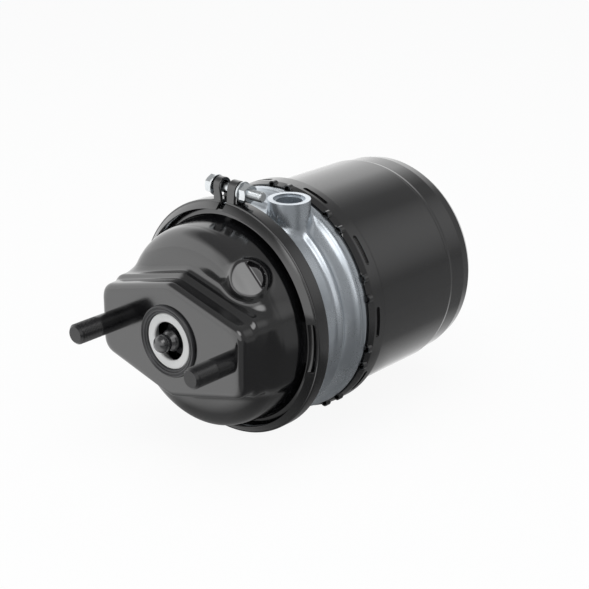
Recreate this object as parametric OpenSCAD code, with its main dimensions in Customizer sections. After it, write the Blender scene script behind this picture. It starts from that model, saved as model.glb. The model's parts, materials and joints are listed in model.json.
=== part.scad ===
// Spring brake actuator for an air disc brake: a service diaphragm chamber in front, a spring parking chamber behind.
// Frame: the origin is the centre of the mounting face, the studs point to -Y, the axis runs to +Y, the band bolt is at +Z.
// Shown as delivered: no air, the release bolt wound out, the power spring held back.

/* [Mounting] */
// Distance between the two mounting studs
stud_spacing = 120.65; // [119:0.05:122]
// Thread diameter of the mounting studs
stud_d = 16; // [14:0.5:16]
// Stud length in front of the mounting face
stud_length = 38; // [32:1:45]
// Half height of the pad at its ends
pad_end_half = 26; // [24:0.5:28]
// Half height of the pad at its middle
pad_mid_half = 46; // [44:0.5:48]

/* [Front housing] */
// Outer radius of the bowl; the other round pieces follow it
bowl_r = 78; // [76:0.5:80]
// Thickness of the pressed sheet
sheet = 3; // [2.5:0.1:3.2]
// Distance from the mounting face to the front of the rim
rim_y = 63; // [60:0.5:66]
// Width of the clamped rim outside the bowl
rim_w = 9.5; // [9:0.25:11]
// Radius of the hole for the face seal
seal_hole_r = 24; // [22.5:0.25:24.5]

/* [Push rod] */
// Diameter of the push rod
rod_d = 17; // [15:0.5:18]
// How far the round rod tip stands in front of the mounting face
tip_reach = 13; // [10:0.5:16]
// Stroke of the push rod, of the spring piston and of the release bolt
stroke = 57; // [45:1:60]

/* [Flange] */
// Thickness of the wall between the two chambers
web = 9; // [8:0.5:10]
// Core radius of the M22 threads of both air ports
port_r = 10.2; // [8.5:0.1:10.5]
// Wall of the port bosses
port_wall = 6; // [4:0.1:6.5]

/* [Spring housing] */
// Number of locking slots around the bell
slots = 10; // [8:1:12]
// Wire diameter of the power spring
power_wire = 13; // [12:0.25:13.5]
// Outer radius of the spring piston's tube
tube_r = 16; // [15:0.5:17]

/* [Release bolt] */
// Thread diameter of the release bolt
release_d = 16; // [14:0.5:16]
// Width across the flats of its hexagon
release_af = 24; // [22:0.5:26]

/* [Clamp band] */
// Thickness of the band
band_t = 3.5; // [3:0.1:3.8]
// Thread diameter of the band bolt
band_bolt_d = 8; // [7:0.5:8]
// Gap between the band ends
band_gap = 5.5; // [5:0.5:7]

/* [Fits] */
// Radial clearance of sliding and turning fits
run_fit = 0.05; // [0.03:0.01:0.09]
// Radial clearance of loose holes
loose_fit = 0.15; // [0.1:0.05:0.3]
// Gap left between pieces that move apart
open_gap = 0.3; // [0.25:0.05:0.5]

/* [View] */
// Node to draw, or all of them

/* [Hidden] */
black = [0.07, 0.07, 0.075];
steel = [0.62, 0.63, 0.65];
zinc = [0.78, 0.79, 0.8];
cast = [0.7, 0.72, 0.75];
rubber = [0.12, 0.12, 0.13];
big = 128;
small = 64;
hull_fn = 32;
hex = 1 / cos(30) / 2;

stud_r = stud_d / 2;
stud_x = stud_spacing / 2;
stud_bevel = stud_d / 10;
pad_half_width = stud_x + stud_r + 4.7;
pad_corner = 12;
pad_edge = 4;
pad_tail = rim_y - 13;
plate_t = 5;
head_t = 4;
head_r = stud_r + 2;
stud_plate_r = pad_end_half - 5;
stud_plate_mid = seal_hole_r + 9;

bowl_front = rim_y - 49;
bowl_flat = bowl_r - 48;
bowl_y = rim_y - 9;
knob_a = 47.5;
knob_tilt = 8;
knob_r = 12;
drain_r = 4;
chamfer = 2;
bead_t = 3;
rim_r = bowl_r + rim_w;
rim_back = rim_y + sheet;
flange_y = rim_back + bead_t;
flange_rim_y = flange_y + 5;

rod_r = rod_d / 2;
tip_r = rod_r - 1.5;
neck_r = rod_r - 2;
ring_hole_r = rod_r + 6.2;
seal_r = seal_hole_r + 3.8;
seal_lip = 2.5;
seal_core_r = seal_hole_r - 2.5;
seal_tail_r = seal_hole_r + 1.9;
housing_in = sheet + plate_t;
boot_r = rod_r + 4.7;
fold_r = rod_r + 10.5;
boot_t = 1.4;
plate_r = bowl_r - 28;
dish_t = 3;
dish_y = flange_y + 15;
skin_y = dish_y + dish_t;
skin_t = 4;
bag_r = bowl_r - 4.5;
return_wire = 2.4;
tube_y = skin_y + skin_t + 0.5;

web_y = skin_y + skin_t + 3;
web_back = web_y + web;
bush_r = tube_r + 3;
tube_seal_r = bush_r + 4;
hub_r = bush_r + 8;
hub_back = web_back + 12;
flange_r = rim_r - 5.5;
ridge_y = web_y + 3;
neck_y = web_back + 12;
case_y = neck_y + 6.6;
spigot_r = rim_r + 0.5;
spigot_bore = spigot_r - 9;
spigot_back = case_y + 17.4;
groove_y = case_y + 2.4;
groove_d = 3.6;
o_ring_r = 1.7;
lock_y = case_y + 9.4;
lock_t = 3.8;
boss_r = port_r + port_wall;
port_top = spigot_r + 5;
port_root = flange_r - 22;
port_x = 31;
port_y = web_y + 4;
park_y = web_y + 10;
port_depth = 16;
port_bevel = 2;
air_r = 3.5;

bell_t = 2.4;
bell_out = spigot_r + 3.8;
bell_in = spigot_r + 1.4;
slot_angle = 13;
slot_r = 1.8;
blister_r = 3.7;
blister_y = case_y + 4;
bore_r = spigot_r - 4.7;
spring_case_r = bore_r + 2.7;
piston_y = hub_back + 3;
piston_front = piston_y + stroke;
piston_t = 6;
spring_front = piston_front + piston_t;
spring_turns = 5.25;
spring_pitch = power_wire + 0.4;
spring_back = spring_front + spring_turns * spring_pitch + power_wire;
seat_t = 2;
rear_inner = spring_back + seat_t;
rear_y = rear_inner + sheet;
power_r = bore_r - 11.3 - power_wire / 2;
cup_out = power_r + power_wire / 2 + 3.8;
cup_in = cup_out - 3.2;
land_r = bore_r - 0.6;
skirt_y = piston_front + 27;
skirt_back = skirt_y + 16;
seal_floor = bore_r - 4.4;
guide_floor = bore_r - 2.8;
guide_y = skirt_y + 10.5;
guide_back = guide_y + 3.5;

release_r = release_d / 2;
tube_in = tube_r - 4;
shoulder_y = piston_front + 9;
hub_in_back = spring_front + 12;
washer_t = 3.7;
collar_t = 6;
collar_y = shoulder_y - 2 * open_gap - washer_t - collar_t;
dish_out = rear_y - 12;
dish_r = 36;
nut_back = dish_out + 3.4;
nut_front = nut_back - 15;
head_y = nut_back + stroke + open_gap;
bolt_head_t = 12;

band_in = rim_r + open_gap;
band_out = band_in + band_t;
band_lip = rim_r - 3;
band_bolt_y = rim_y + 6.5;
band_bolt_z = band_out + 9.2;
ear_x = -2.3;
ear_y = rim_y - 2;
ear_t = 8;
ear_w = 12.5;
cap_r = 6;
cap_z = band_bolt_z + 2;
cap_y = rim_y + 1;
cap_w = 11;
ear_off = band_gap / 2 + ear_t / 2;
band_af = 1.6 * band_bolt_d;
band_head_t = 0.7 * band_bolt_d;
band_nut_t = 0.85 * band_bolt_d;
washer_r = band_bolt_d;
band_washer_t = 1.6;
grip_x = ear_x - ear_off - cap_r - band_washer_t;
nut_x = ear_x + ear_off + cap_r + band_washer_t;
band_bolt_len = nut_x + band_nut_t + 12.4 - grip_x;

function arc(c, a, b, s, e, n) = [for (i = [0:n]) [c[0] + a * cos(s + (e - s) * i / n), c[1] + b * sin(s + (e - s) * i / n)]];

// Turns a profile of [radius, y] points about the Y axis
module turned(points, fn = big) {
  rotate([-90, 0, 0]) rotate_extrude($fn = fn) polygon(points);
}

// Round bar along +Y from one y to another
module bar(r, y0, y1, fn = small) {
  translate([0, y0, 0]) rotate([-90, 0, 0]) cylinder(r = r, h = y1 - y0, $fn = fn);
}

// Ring along Y with a round hole
module ring(r_out, r_in, y0, y1, fn = big) {
  turned([[r_in, y0], [r_out, y0], [r_out, y1], [r_in, y1]], fn);
}

// Places a child at an angle around the Y axis, measured from +X to +Z
module around(a) {
  rotate([0, -a, 0]) children();
}

// Sector of a disc around +X, used to cut slots
module wedge(a, y0, y1) {
  far = 2 * bell_out;
  translate([0, y0, 0]) rotate([-90, 0, 0]) linear_extrude(y1 - y0) polygon([[0, 0], [far, -far * tan(a / 2)], [far, far * tan(a / 2)]]);
}

// Closed helical wire about Y, from radius r0 at y0 to radius r1 at y1
module helix(r0, r1, y0, y1, turns, wire_r, steps, sides) {
  n = round(turns * steps);
  pts = [for (i = [0:n], j = [0:sides - 1])
    let (t = i / n, a = 360 * turns * t, b = 360 * j / sides, r = r0 + (r1 - r0) * t + wire_r * cos(b))
    [r * cos(a), y0 + (y1 - y0) * t + wire_r * sin(b), r * sin(a)]];
  walls = [for (i = [0:n - 1], j = [0:sides - 1])
    let (k = (j + 1) % sides) [i * sides + j, i * sides + k, (i + 1) * sides + k, (i + 1) * sides + j]];
  first = [for (j = [sides - 1:-1:0]) j];
  last = [for (j = [0:sides - 1]) n * sides + j];
  polyhedron(points = pts, faces = concat(walls, [first, last]), convexity = 8);
}

// Body of the hexagonal pad; inset makes the matching cavity
module pad_body(inset) {
  hull() {
    for (sx = [-1, 1], sz = [-1, 1]) {
      translate([sx * (pad_half_width - pad_corner), 0, sz * (pad_end_half - pad_corner)]) {
        bar(pad_corner - pad_edge - inset, inset, inset + 1, hull_fn);
        bar(pad_corner - 0.3 * pad_edge - inset, inset + 0.3 * pad_edge, inset + 2, hull_fn);
        bar(pad_corner - inset, inset + pad_edge, inset + pad_edge + 1, hull_fn);
      }
      translate([sx * (bowl_r - 0.5 - pad_corner), 0, sz * (pad_end_half - pad_corner)])
        bar(pad_corner - inset, pad_tail, pad_tail + 1, hull_fn);
    }
    for (sz = [-1, 1]) translate([0, 0, sz * (pad_mid_half - pad_corner)]) {
      bar(pad_corner - pad_edge - inset, inset, inset + 1, hull_fn);
      bar(pad_corner - 0.3 * pad_edge - inset, inset + 0.3 * pad_edge, inset + 2, hull_fn);
      bar(pad_corner - inset, inset + pad_edge, pad_tail + 1, hull_fn);
    }
  }
}

// Curved profile of the bowl, moved inwards by inset
function bowl(inset) = concat([[0, bowl_front + inset]],
  arc([bowl_flat, bowl_y], bowl_r - bowl_flat - inset, bowl_y - bowl_front - inset, -90, 0, 16));

module front_housing() color(black) difference() {
  union() {
    turned(concat(bowl(0), [[bowl_r, rim_y], [rim_r - chamfer, rim_y], [rim_r, rim_y + chamfer], [rim_r, rim_back], [0, rim_back]]));
    pad_body(0);
    around(knob_a) translate([bowl_r - 6, rim_y - 25.5, 0]) rotate([0, 0, -90 - knob_tilt]) bar(knob_r, -12, 0);
  }
  turned(concat(bowl(sheet), [[bowl_r - sheet, rim_back + 1], [0, rim_back + 1]]));
  pad_body(sheet);
  bar(seal_hole_r, -1, sheet + 1);
  bar(seal_r + loose_fit, -1, 1);
  for (s = [-1, 1]) translate([s * stud_x, 0, 0]) bar(stud_r + 0.6 + loose_fit, -1, sheet + 1);
  around(-90) translate([bowl_r, bowl_y - 4, 0]) rotate([0, 90, 0]) cylinder(r = drain_r, h = 4 * drain_r, center = true, $fn = small);
}

// Stiffening plate behind the pad
module stud_plate() color(steel) difference() {
  union() {
    for (s = [-1, 1]) translate([s * (stud_x - 14), 0, 0]) bar(stud_plate_r, sheet, housing_in);
    translate([-stud_x + 14, sheet, -stud_plate_r]) cube([stud_spacing - 28, plate_t, 2 * stud_plate_r]);
    bar(stud_plate_mid, sheet, housing_in);
  }
  bar(seal_tail_r + 0.1, sheet - 1, housing_in + 1);
  for (s = [-1, 1]) translate([s * stud_x, 0, 0]) bar(stud_r + 0.6, sheet - 1, housing_in + 1);
}

// Two studs, each with a thicker shank through the sheet and the plate
module mounting_studs() color(black) for (s = [-1, 1]) translate([s * stud_x, 0, 0])
  turned([[0, -stud_length], [stud_r - stud_bevel, -stud_length], [stud_r, -stud_length + stud_bevel], [stud_r, 0],
    [stud_r + 0.6, 0], [stud_r + 0.6, housing_in], [head_r, housing_in], [head_r, housing_in + head_t],
    [0, housing_in + head_t]], small);

// Rubber seal that closes against the brake calliper
module face_seal() color(rubber) turned([[seal_core_r, 0.4 - seal_lip], [seal_r - 1, -seal_lip], [seal_r, 1 - seal_lip],
  [seal_r, 1], [seal_hole_r, 1], [seal_hole_r, sheet], [seal_tail_r, sheet], [seal_tail_r, housing_in], [seal_core_r, housing_in]]);

// Pale ring that holds the seal and the boot in the hole
module seal_ring() color([0.85, 0.85, 0.84]) turned([[ring_hole_r, -1.6], [ring_hole_r + 0.6, -2.2], [seal_core_r, -2.2],
  [seal_core_r, housing_in], [ring_hole_r, housing_in]]);

// Bellows on the push rod
module rod_boot() color(rubber) {
  folds = 9;
  y0 = housing_in + 2;
  y1 = dish_y - 6;
  lip = rod_r + 0.4;
  pitch = (y1 - y0) / folds;
  outer = [for (i = [0:folds - 1]) each [[boot_r, y0 + pitch * i], [fold_r, y0 + pitch * (i + 0.5)]]];
  inner = [for (i = [folds - 1:-1:0]) each [[fold_r - boot_t, y0 + pitch * (i + 0.5)], [boot_r - boot_t, y0 + pitch * i]]];
  turned(concat([[lip, 1.5], [ring_hole_r, 1.5], [ring_hole_r, y0 - 2]], outer, [[boot_r, y1], [boot_r, dish_y],
    [lip, dish_y], [lip, y1 + 1.5], [boot_r - boot_t, y1]], inner, [[boot_r - boot_t, 3], [lip, 3]]), small);
}

// Conical spring that pushes the rod back
module return_spring() color(steel)
  helix(seal_hole_r + 6, plate_r - 6, housing_in + return_wire, dish_y - return_wire, 6, return_wire, 20, 8);

// Rolling rubber diaphragm, its bead held between the two rims
module diaphragm() color(rubber) turned([[0, skin_y], [plate_r + 4, skin_y], [bag_r - 4, dish_y - 2], [bag_r - 3.2, rim_back + 4],
  [bag_r + 0.5, rim_back], [rim_r - 0.5, rim_back], [rim_r - 0.5, flange_y], [bag_r + 3, flange_y], [bag_r, flange_y + 3],
  [bag_r - 0.5, dish_y], [plate_r + 6, skin_y + skin_t], [0, skin_y + skin_t]]);

module push_plate() color(steel) turned([[neck_r, dish_y], [plate_r - 4, dish_y], [plate_r, dish_y - 3],
  [plate_r + 1.5, dish_y - 1.5], [plate_r - 2.5, skin_y], [neck_r, skin_y]]);

module push_rod() color([0.2, 0.2, 0.21]) turned(concat([[0, -tip_reach]], arc([0, tip_r - tip_reach], tip_r, tip_r, -80, 35, 12),
  [[rod_r - 1, tip_r - tip_reach + 6], [rod_r, tip_r - tip_reach + 8], [rod_r, dish_y], [neck_r, dish_y],
  [neck_r, skin_y], [0, skin_y]]), small);

// Round bar along +X at the height of the band bolt
module cross_bar(r, x0, x1, fn = small) {
  translate([x0, band_bolt_y, band_bolt_z]) rotate([0, 90, 0]) cylinder(r = r, h = x1 - x0, $fn = fn);
}

// V-section band around both rims, open at the top, its ends turned up into ears with rolled tops
module clamp_band() color(black) difference() {
  union() {
    difference() {
      turned([[band_lip, rim_y - 6], [band_out - 0.4, rim_y + 0.9], [band_out, rim_y + 2], [band_out, flange_rim_y],
        [band_out - 1.2, flange_rim_y + 2], [band_lip + 1, flange_rim_y + 4], [band_lip + 1, flange_rim_y + 0.5],
        [band_in, flange_rim_y - 1.8], [band_in, rim_y + 2.3], [band_lip, rim_y - 1]]);
      translate([ear_x - band_gap / 2, rim_y - 20, 0]) cube([band_gap, 50, 2 * band_out]);
    }
    for (s = [-1, 1]) translate([ear_x + s * ear_off, 0, 0]) {
      translate([-ear_t / 2, ear_y, band_in]) cube([ear_t, ear_w, cap_z - band_in]);
      translate([0, 0, cap_z]) bar(cap_r, cap_y, cap_y + cap_w);
    }
  }
  cross_bar(band_bolt_d / 2 + loose_fit, grip_x - 9, nut_x + 9);
  around(0.5) translate([band_lip - 3, rim_y - 7.4, -17]) cube([7.6, 6, 34]);
}

module clamp_bolt() color(zinc) {
  cross_bar(hex * band_af, grip_x - band_head_t, grip_x, 6);
  cross_bar(band_bolt_d / 2, grip_x - 1, grip_x + band_bolt_len);
}

module clamp_washers() color(zinc) difference() {
  for (x = [grip_x, nut_x - band_washer_t]) cross_bar(washer_r, x, x + band_washer_t);
  cross_bar(band_bolt_d / 2 + loose_fit, grip_x - 1, nut_x + 1);
}

module clamp_nut() color(zinc) difference() {
  cross_bar(hex * band_af, nut_x, nut_x + band_nut_t, 6);
  cross_bar(band_bolt_d / 2 + run_fit, nut_x - 1, nut_x + band_nut_t + 1);
}

// Port boss on the +X axis, from a root radius out to its mouth
module port_boss(root) rotate([0, 90, 0]) translate([0, 0, root]) cylinder(r = boss_r, h = port_top - root, $fn = small);

module port_cut() rotate([0, 90, 0]) {
  translate([0, 0, port_top - port_depth]) cylinder(r = port_r, h = port_depth + 1, $fn = small);
  translate([0, 0, port_top - port_bevel]) cylinder(r = port_r + port_bevel, h = port_bevel + 1, $fn = small);
}

// Cast aluminium flange: the wall between the chambers, both air ports and the seats of both housings
module flange_case() color(cast) difference() {
  union() {
    turned([[0, flange_y], [rim_r, flange_y], [rim_r, flange_rim_y - chamfer], [rim_r - chamfer, flange_rim_y],
      [flange_r + 1.5, flange_rim_y], [flange_r, flange_rim_y + 2], [flange_r, ridge_y - 5], [flange_r + 1.2, ridge_y - 2.5],
      [flange_r + 3, ridge_y], [flange_r + 2, ridge_y + 1.5], [flange_r + 1.4, ridge_y + 5], [flange_r + 2.6, ridge_y + 11],
      [flange_r + 5, neck_y], [flange_r + 3.8, neck_y + 0.2], [flange_r + 3.8, neck_y + 1], [spigot_r + 0.6, neck_y + 1.4],
      [spigot_r + 1.3, neck_y + 3.6], [spigot_r + 1.3, neck_y + 4.6], [spigot_r, neck_y + 5.2],
      [spigot_r, spigot_back], [spigot_bore, spigot_back], [spigot_bore - 1, web_back], [hub_r, web_back], [hub_r, hub_back], [0, hub_back]]);
    translate([port_x, port_y, 0]) rotate([0, -90, 0]) port_boss(port_root);
    translate([0, park_y, 0]) rotate([0, 180, 0]) port_boss(spigot_bore - 1);
  }
  turned([[0, flange_y - 20], [bag_r + 3, flange_y - 20], [bag_r + 3, flange_y], [bag_r + 1, flange_y + 5], [bag_r, web_y],
    [hub_r, web_y], [hub_r, web_y - 2], [0, web_y - 2]]);
  bar(bush_r, web_y - 3, hub_back - 5);
  bar(tube_seal_r, hub_back - 5, hub_back + 1);
  translate([port_x, port_y, 0]) rotate([0, -90, 0]) port_cut();
  translate([port_x, port_y, port_root + 6]) cylinder(r = air_r, h = port_top - port_depth - port_root - 5, $fn = small);
  translate([port_x, web_y - 4, port_root + 9]) rotate([-90, 0, 0]) cylinder(r = air_r, h = 8, $fn = small);
  translate([0, park_y, 0]) rotate([0, 180, 0]) port_cut();
  translate([-spigot_bore - 1, park_y, 0]) rotate([0, 90, 0]) cylinder(r = air_r, h = 8, $fn = small);
  ring(spigot_r + 1, spigot_r - groove_d, groove_y, groove_y + 2 * o_ring_r);
  ring(spigot_r + 1, spigot_r - 2.6, lock_y - lock_t / 2 - 0.1, lock_y + lock_t / 2 + 0.1);
}

module tube_guide_bush() color([0.75, 0.6, 0.35]) ring(bush_r, tube_r + run_fit, web_y - 2, hub_back - 5, small);

module tube_seal() color(rubber) turned([[tube_r + run_fit, hub_back - 5], [tube_seal_r, hub_back - 5], [tube_seal_r, hub_back],
  [tube_r + 2, hub_back], [tube_r + 1.5, hub_back - 2.5], [tube_r + run_fit, hub_back - 1]], small);

module housing_o_ring() color(rubber) turned(arc([spigot_r - o_ring_r, groove_y + o_ring_r], o_ring_r, o_ring_r, 0, 330, 11));

// Flat steel ring that locks the spring housing on the flange, seen through the slots
module lock_ring() color(steel) ring(bell_in - 0.2, spigot_r - 2.5, lock_y - lock_t / 2, lock_y + lock_t / 2);

// Wall of the bell and of the housing behind it, with the dished rear
module bell_and_case()
  turned([[spigot_r + run_fit, case_y], [spigot_r + bell_t, case_y], [bell_out, case_y + 5.4], [bell_out, spigot_back - 0.4],
    [bell_out - 1.2, spigot_back + 1.4], [spring_case_r + 0.4, spigot_back + 6], [spring_case_r, rear_y - 42],
    [spring_case_r - 1, rear_y - 40], [spring_case_r - 1, rear_y - 38.5], [spring_case_r - 1.6, rear_y - 36],
    [spring_case_r - 2, rear_y - 20], [spring_case_r - 3.6, rear_y - 11.5], [spring_case_r - 6, rear_y - 7.5],
    [spring_case_r - 10, rear_y - 3], [spring_case_r - 16, rear_y], [dish_r + 8, rear_y], [dish_r, dish_out], [0, dish_out],
    [0, dish_out - sheet], [dish_r + 1.5, dish_out - sheet], [dish_r + 9.5, rear_inner], [spring_case_r - 16, rear_inner],
    [spring_case_r - 12, rear_y - 5.2], [spring_case_r - 8.4, rear_y - 9.3], [bore_r - 2.4, rear_y - 20], [bore_r - 2, rear_y - 41],
    [bore_r, rear_y - 45], [bore_r, spigot_back + 3.6], [bell_in, spigot_back - 1], [bell_in, case_y + 6],
    [spigot_r + run_fit, case_y + 0.9]]);

// Pairs of half-round blisters pressed out of the bell's front edge; inset makes their hollows
module blisters(inset) for (i = [0:slots - 1], k = [-5, 5]) around((i + 0.5) * 360 / slots + k) translate([spigot_r + 1.6, 0, 0])
  turned([[0, case_y - inset], [blister_r - inset, case_y - inset], [blister_r - inset, blister_y],
    [blister_r - 2.2, blister_y + 2.4 - inset], [0, blister_y + 2.4 - inset]], small);

// Long hole with round ends through the bell at the height of the lock ring
module slot_cut() {
  wedge(slot_angle, lock_y - slot_r, lock_y + slot_r);
  for (k = [-0.5, 0.5]) around(k * slot_angle) translate([spigot_r - 2, lock_y, 0]) rotate([0, 90, 0])
    cylinder(r = slot_r + 0.1, h = 9, $fn = small);
}

// Pressed steel spring housing with its bell, the locking slots and the dished rear wall
module spring_housing() color(black) difference() {
  union() {
    bell_and_case();
    intersection() {
      ring(bell_out + 4, spigot_r + open_gap, case_y - 1, blister_y + 4);
      blisters(0);
    }
  }
  intersection() {
    ring(bell_out + 1, spigot_r - 1, lock_y - 3, lock_y + 3);
    for (i = [0:slots - 1]) around(i * 360 / slots) slot_cut();
  }
  blisters(1);
  bar(release_r + 1, dish_out - 20, dish_out + 1);
}

module power_spring() color([0.25, 0.3, 0.4]) helix(power_r, power_r, spring_front + power_wire / 2, spring_back - power_wire / 2,
  spring_turns, power_wire / 2, 24, 10);

module rear_spring_seat() color(rubber) ring(power_r + 3.5, power_r - 7, spring_back, rear_inner);

// Spring piston: a cup around the power spring with the sealed skirt at its rear
module spring_piston() color(cast) turned([[tube_r, piston_front], [cup_out, piston_front], [cup_out, skirt_y],
  [land_r, skirt_y], [land_r, skirt_y + 3], [seal_floor, skirt_y + 3], [seal_floor, skirt_y + 8], [land_r, skirt_y + 8],
  [land_r, guide_y], [guide_floor, guide_y], [guide_floor, guide_back], [land_r, guide_back], [land_r, skirt_back],
  [cup_in, skirt_back], [cup_in, spring_front], [tube_r + 8, spring_front], [tube_r + 7, hub_in_back],
  [release_r + 0.6, hub_in_back], [release_r + 0.6, shoulder_y], [tube_r, shoulder_y]]);

module piston_seal() color(rubber) turned([[seal_floor, skirt_y + 3.2], [bore_r - run_fit, skirt_y + 3.2], [bore_r - 1.2, skirt_y + 6],
  [bore_r - run_fit, skirt_y + 7.8], [seal_floor, skirt_y + 7.8]]);

module piston_guide_ring() color([0.2, 0.2, 0.2]) ring(bore_r - run_fit - 0.03, guide_floor, guide_y + 0.1, guide_back - 0.1);

// Hollow rod of the spring piston
module piston_tube() color(steel) ring(tube_r, tube_in, tube_y + 2, shoulder_y, small);

module tube_end_plug() color(steel) turned([[0, tube_y], [tube_r - 1, tube_y], [tube_r, tube_y + 1], [tube_r, tube_y + 2],
  [tube_in, tube_y + 2], [tube_in, tube_y + 12], [0, tube_y + 12]], small);

module thrust_washer() color(steel)
  ring(tube_in - open_gap, release_r + run_fit, shoulder_y - open_gap - washer_t, shoulder_y - open_gap, small);

module release_nut() color(zinc) difference() {
  union() {
    translate([0, nut_front, 0]) rotate([-90, 0, 0]) cylinder(r = hex * release_af, h = dish_out - sheet - nut_front, $fn = 6);
    bar(release_r + 1, dish_out - sheet, dish_out);
    bar(release_r + 4, dish_out, nut_back);
  }
  bar(release_r + run_fit, nut_front - 1, nut_back + 1);
}

module release_bolt() color(zinc) {
  translate([0, head_y, 0]) rotate([-90, 0, 0]) cylinder(r = hex * release_af, h = bolt_head_t, $fn = 6);
  bar(release_r, collar_y - 2, head_y + 1);
}

// Collar fixed on the inner end of the release bolt
module release_bolt_collar() color(steel) ring(tube_in - 0.5, release_r, collar_y, collar_y + collar_t, small);

front_housing();
stud_plate();
mounting_studs();
face_seal();
seal_ring();
rod_boot();
return_spring();
diaphragm();
push_plate();
push_rod();
clamp_band();
clamp_bolt();
clamp_washers();
clamp_nut();
flange_case();
tube_guide_bush();
tube_seal();
housing_o_ring();
lock_ring();
spring_housing();
power_spring();
rear_spring_seat();
spring_piston();
piston_seal();
piston_guide_ring();
piston_tube();
tube_end_plug();
thrust_washer();
release_nut();
release_bolt();
release_bolt_collar();
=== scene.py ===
# %% [markdown]
# # A spring brake actuator for an air disc brake
# A pressed black bowl with a hexagonal pad carries two studs, a rubber seal and the round end of a push rod. A
# V-section band clamps the bowl to a cast aluminium flange, and a long black spring housing sits behind it. The
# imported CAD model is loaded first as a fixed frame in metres. New surfaces are then worked out with numpy in
# millimetres around it, and every finish is a set of shader nodes.

# %% Load the frame
import json
import math
import bmesh
import bpy
import numpy as np
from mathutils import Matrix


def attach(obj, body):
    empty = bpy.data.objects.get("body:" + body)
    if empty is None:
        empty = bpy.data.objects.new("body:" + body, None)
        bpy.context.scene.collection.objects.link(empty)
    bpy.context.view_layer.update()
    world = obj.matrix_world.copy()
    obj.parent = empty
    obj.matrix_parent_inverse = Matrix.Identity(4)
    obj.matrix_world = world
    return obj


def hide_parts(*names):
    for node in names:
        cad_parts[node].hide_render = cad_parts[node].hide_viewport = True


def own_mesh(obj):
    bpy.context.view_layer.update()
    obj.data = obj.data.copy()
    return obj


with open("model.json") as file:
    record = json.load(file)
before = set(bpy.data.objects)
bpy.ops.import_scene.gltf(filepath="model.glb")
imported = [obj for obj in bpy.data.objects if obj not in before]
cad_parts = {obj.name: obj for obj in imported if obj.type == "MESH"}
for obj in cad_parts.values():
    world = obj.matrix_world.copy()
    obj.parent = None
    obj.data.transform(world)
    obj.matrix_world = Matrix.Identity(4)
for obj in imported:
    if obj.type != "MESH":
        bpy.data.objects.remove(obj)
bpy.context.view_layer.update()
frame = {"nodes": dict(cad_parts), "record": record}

# %% [markdown]
# ## Camera
# The camera stands where the photograph was taken from. It could be placed by eye, but then no edge would fall where
# it should. Its place, angles and lens were worked out from the two studs, whose spacing is known, and from the
# circles of the band and the housings.

# %% Camera
AZIMUTH, ELEVATION = 41.78, 21.26
camera = bpy.data.objects.new("camera", bpy.data.cameras.new("camera"))
camera.data.lens = 101.56
camera.data.sensor_width = 36.0
camera.data.clip_start = 0.05
camera.data.clip_end = 30.0
camera.location = (0.81780, -0.77668, 0.47418)
camera.rotation_euler = (math.radians(90 - ELEVATION), 0, math.radians(AZIMUTH))
bpy.context.scene.collection.objects.link(camera)
bpy.context.scene.camera = camera
bpy.context.scene.view_settings.view_transform = "Standard"
print("camera at", tuple(camera.location))

# %% [markdown]
# ## Mesh helpers
# A surface is a grid of points. Neighbours in the grid become quads, and a grid that closes on itself has no seam.
# Most pieces of this actuator are turned or drawn round one axis, so a profile carried round that axis makes them. A
# Screw modifier could do the same, but whole arrays also allow a profile that changes with the angle.

# %% Mesh helpers
MM = 0.001


def make_piece(name, points, faces, material, smooth=True, sharp=None):
    """One mesh object from points in mm and corner lists; doubles are merged and faces turned to point outwards.

    Edges that bend by more than sharp degrees stay crisp.
    """
    mesh = bpy.data.meshes.new(name)
    mesh.from_pydata((np.asarray(points) * MM).tolist(), [], faces)
    mesh.validate()
    work = bmesh.new()
    work.from_mesh(mesh)
    bmesh.ops.remove_doubles(work, verts=work.verts, dist=1e-7)
    bmesh.ops.recalc_face_normals(work, faces=work.faces)
    work.to_mesh(mesh)
    work.free()
    mesh.update()
    mesh.polygons.foreach_set("use_smooth", np.full(len(mesh.polygons), smooth))
    if sharp is not None:
        mesh.set_sharp_from_angle(angle=math.radians(sharp))
    piece = bpy.data.objects.new(name, mesh)
    bpy.context.scene.collection.objects.link(piece)
    mesh.materials.append(material)
    return piece


def dress(piece, body, node):
    """Fastens a piece to a body and hides the CAD node that it takes the place of."""
    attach(piece, body)
    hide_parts(node)
    print(piece.name + ":", len(piece.data.polygons), "faces on", body)


# %% Grids and turned forms
def grid_faces(rows, cols, close_rows=False, close_cols=True, start=0):
    """Quads of a rows x cols grid of points; the last row or column may join the first."""
    r = np.arange(rows if close_rows else rows - 1)
    c = np.arange(cols if close_cols else cols - 1)
    i, j = np.meshgrid(r, c, indexing="ij")
    i2, j2 = (i + 1) % rows, (j + 1) % cols
    quads = np.stack([i * cols + j, i * cols + j2, i2 * cols + j2, i2 * cols + j], axis=-1)
    return (quads.reshape(-1, 4) + start).tolist()


def turn(profile, around):
    """Points of a profile of (radius, y) carried round the Y axis: x = r cos a, z = r sin a.

    around is a count of equal steps or the angles themselves.
    """
    a = np.linspace(0, 2 * np.pi, around, endpoint=False) if isinstance(around, int) else around
    r, y = np.asarray(profile, float).T
    grid = np.stack([r[:, None] * np.cos(a), np.repeat(y[:, None], len(a), 1), r[:, None] * np.sin(a)], axis=-1)
    return grid.reshape(-1, 3)


def turned(profile, cols):
    """Closed ring of a closed profile round the Y axis, as (points, faces)."""
    return turn(profile, cols), grid_faces(len(profile), cols, close_rows=True)


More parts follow.
